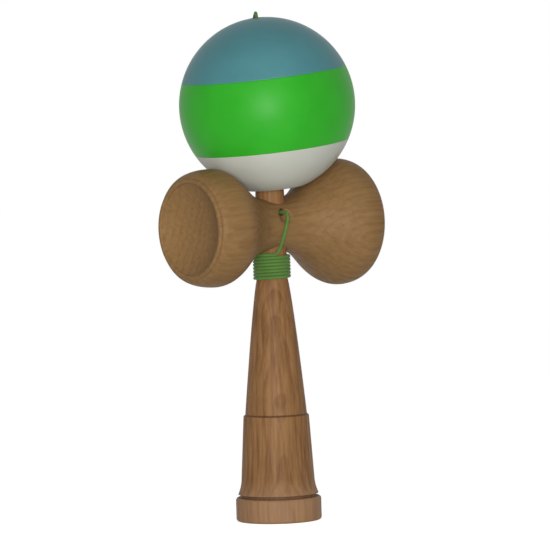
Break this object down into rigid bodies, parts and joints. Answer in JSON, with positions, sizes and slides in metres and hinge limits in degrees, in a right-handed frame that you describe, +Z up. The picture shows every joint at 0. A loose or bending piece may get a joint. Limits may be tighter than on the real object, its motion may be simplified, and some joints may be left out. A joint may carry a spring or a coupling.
{
  "type": "cup and ball toy",
  "caption": "Wooden cup and ball toy: turned handle with a spike and base cup, crosspiece with two cups, banded ball seated on the spike, cord wound round the neck.",
  "frame": {"origin": "centre of the base ring's underside, on the handle's axis, where the toy stands", "axes": "+Z up along the handle to the spike, +X along the crosspiece towards the big cup, +Y to the back, away from the crosspiece's cord hole"},
  "size_m": [0.071, 0.06, 0.1738],
  "materials": {
    "handle_wood": "turned beech, oiled",
    "crosspiece_wood": "turned beech, oiled",
    "ball_wood": "bare turned beech",
    "blue_lacquer": "satin lacquer",
    "green_lacquer": "satin lacquer",
    "white_lacquer": "satin lacquer",
    "bead_wood": "plain wooden bead",
    "cord": "braided polyester cord"
  },
  "bodies": {
    "handle": {"handle": "handle_wood", "crosspiece": "crosspiece_wood", "anchor_knot": "cord", "cord_lead": "cord", "cord_winding": "cord", "cord_tail": "cord"},
    "bead": {"bead": "bead_wood", "stop_knot": "cord", "cord_end": "cord"},
    "ball": {"ball_core": "ball_wood", "blue_coat": "blue_lacquer", "green_coat": "green_lacquer", "white_coat": "white_lacquer"}
  },
  "joints": [
    {"name": "ball_lift", "type": "slide", "parent": "handle", "child": "bead", "axis": [0, 0, 1], "range_m": [0, 0.06], "deforming": ["cord_tail"]},
    {"name": "ball_spin", "type": "hinge", "parent": "bead", "child": "ball", "pos_m": [0, 0, 0.14186], "axis": [-0.1132, 0, 0.9936], "continuous": true}
  ]
}
